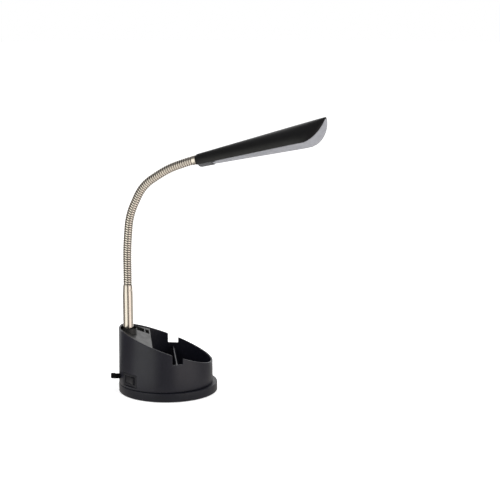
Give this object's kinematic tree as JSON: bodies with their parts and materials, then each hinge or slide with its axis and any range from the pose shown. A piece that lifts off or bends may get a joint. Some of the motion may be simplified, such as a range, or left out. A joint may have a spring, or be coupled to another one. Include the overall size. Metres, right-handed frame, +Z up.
{
  "type": "desk lamp with pen holder",
  "caption": "Desk lamp: a tapered light head on a ribbed gooseneck, over a slanted pen cup on a round weighted base, with a rocker switch, a lead and a plug.",
  "frame": {"origin": "on the table, under the middle of the round base, at the non-slip pad's underside", "axes": "+Z up; +X towards the low side of the pen cup, away from the post; +Y away from the lamp's front"},
  "size_m": [0.2514, 0.2419, 0.342],
  "materials": {
    "black_plastic": "satin",
    "deck_plastic": "satin",
    "rocker_plastic": "semi-gloss",
    "satin_nickel": "satin",
    "zinc_steel": "zinc plated",
    "brass": "plain",
    "pad_rubber": "matte",
    "cord_jacket": "satin",
    "frosted_plastic": "frosted",
    "grey_plastic": "satin",
    "aluminium_sheet": "mill",
    "circuit_board": "satin",
    "wire_insulation": "satin"
  },
  "bodies": {
    "lamp_base": {"base_disc": "black_plastic", "base_cover": "black_plastic", "holder_cup": "black_plastic", "cup_divider": "black_plastic", "switch_bezel": "black_plastic", "post_deck": "deck_plastic", "post_tube": "satin_nickel", "gooseneck_1": "satin_nickel", "ballast_plate": "zinc_steel", "case_screw_1": "zinc_steel", "case_screw_2": "zinc_steel", "case_screw_3": "zinc_steel", "case_screw_4": "zinc_steel", "post_nipple": "zinc_steel", "post_washer": "zinc_steel", "driver_screw_1": "zinc_steel", "driver_screw_2": "zinc_steel", "post_nut": "brass", "switch_terminal_1": "brass", "switch_terminal_2": "brass", "plug_blade_1": "brass", "plug_blade_2": "brass", "anti_slip_pad": "pad_rubber", "strain_relief": "cord_jacket", "cord": "cord_jacket", "cord_coil": "cord_jacket", "cord_tail": "cord_jacket", "plug_body": "cord_jacket", "driver_board": "circuit_board", "neck_wire_1": "wire_insulation", "supply_lead": "wire_insulation", "post_lead": "wire_insulation"},
    "neck_1": {"gooseneck_2": "satin_nickel", "neck_wire_2": "wire_insulation"},
    "neck_2": {"gooseneck_3": "satin_nickel", "neck_wire_3": "wire_insulation"},
    "neck_3": {"gooseneck_4": "satin_nickel", "neck_wire_4": "wire_insulation"},
    "neck_4": {"gooseneck_5": "satin_nickel", "neck_wire_5": "wire_insulation"},
    "lamp_head": {"gooseneck_6": "satin_nickel", "neck_wire_6": "wire_insulation", "neck_ferrule": "satin_nickel", "head_nut": "brass", "head_shell": "black_plastic", "head_cover": "grey_plastic", "diffuser": "frosted_plastic", "light_board": "circuit_board", "heat_plate": "aluminium_sheet", "head_screw_1": "zinc_steel", "head_screw_2": "zinc_steel", "head_screw_3": "zinc_steel", "head_lead": "wire_insulation"},
    "rocker": {"switch_rocker": "rocker_plastic"}
  },
  "joints": [
    {"name": "neck_bend_1", "type": "hinge", "parent": "lamp_base", "child": "neck_1", "pos_m": [-0.0476, 0, 0.1568], "axis": [0.3681, 0.9298, 0], "range_deg": [-25, 25]},
    {"name": "neck_bend_2", "type": "hinge", "parent": "neck_1", "child": "neck_2", "pos_m": [-0.04601, -0.00063, 0.19675], "axis": [0.9264, -0.3668, -0.0854], "range_deg": [-25, 25]},
    {"name": "neck_bend_3", "type": "hinge", "parent": "neck_2", "child": "neck_3", "pos_m": [-0.03649, -0.0044, 0.23509], "axis": [0.3681, 0.9298, 0], "range_deg": [-25, 25]},
    {"name": "neck_bend_4", "type": "hinge", "parent": "neck_3", "child": "neck_4", "pos_m": [-0.01268, -0.01383, 0.26481], "axis": [0.5132, -0.2032, -0.8339], "range_deg": [-25, 25]},
    {"name": "neck_bend_5", "type": "hinge", "parent": "neck_4", "child": "lamp_head", "pos_m": [0.0179, -0.02593, 0.28146], "axis": [0.3681, 0.9298, 0], "range_deg": [-25, 25]},
    {"name": "rocker_pivot", "type": "hinge", "parent": "lamp_base", "child": "rocker", "pos_m": [-0.04515, -0.0316, 0.0219], "axis": [0, 0, 1], "range_deg": [0, 16]}
  ]
}
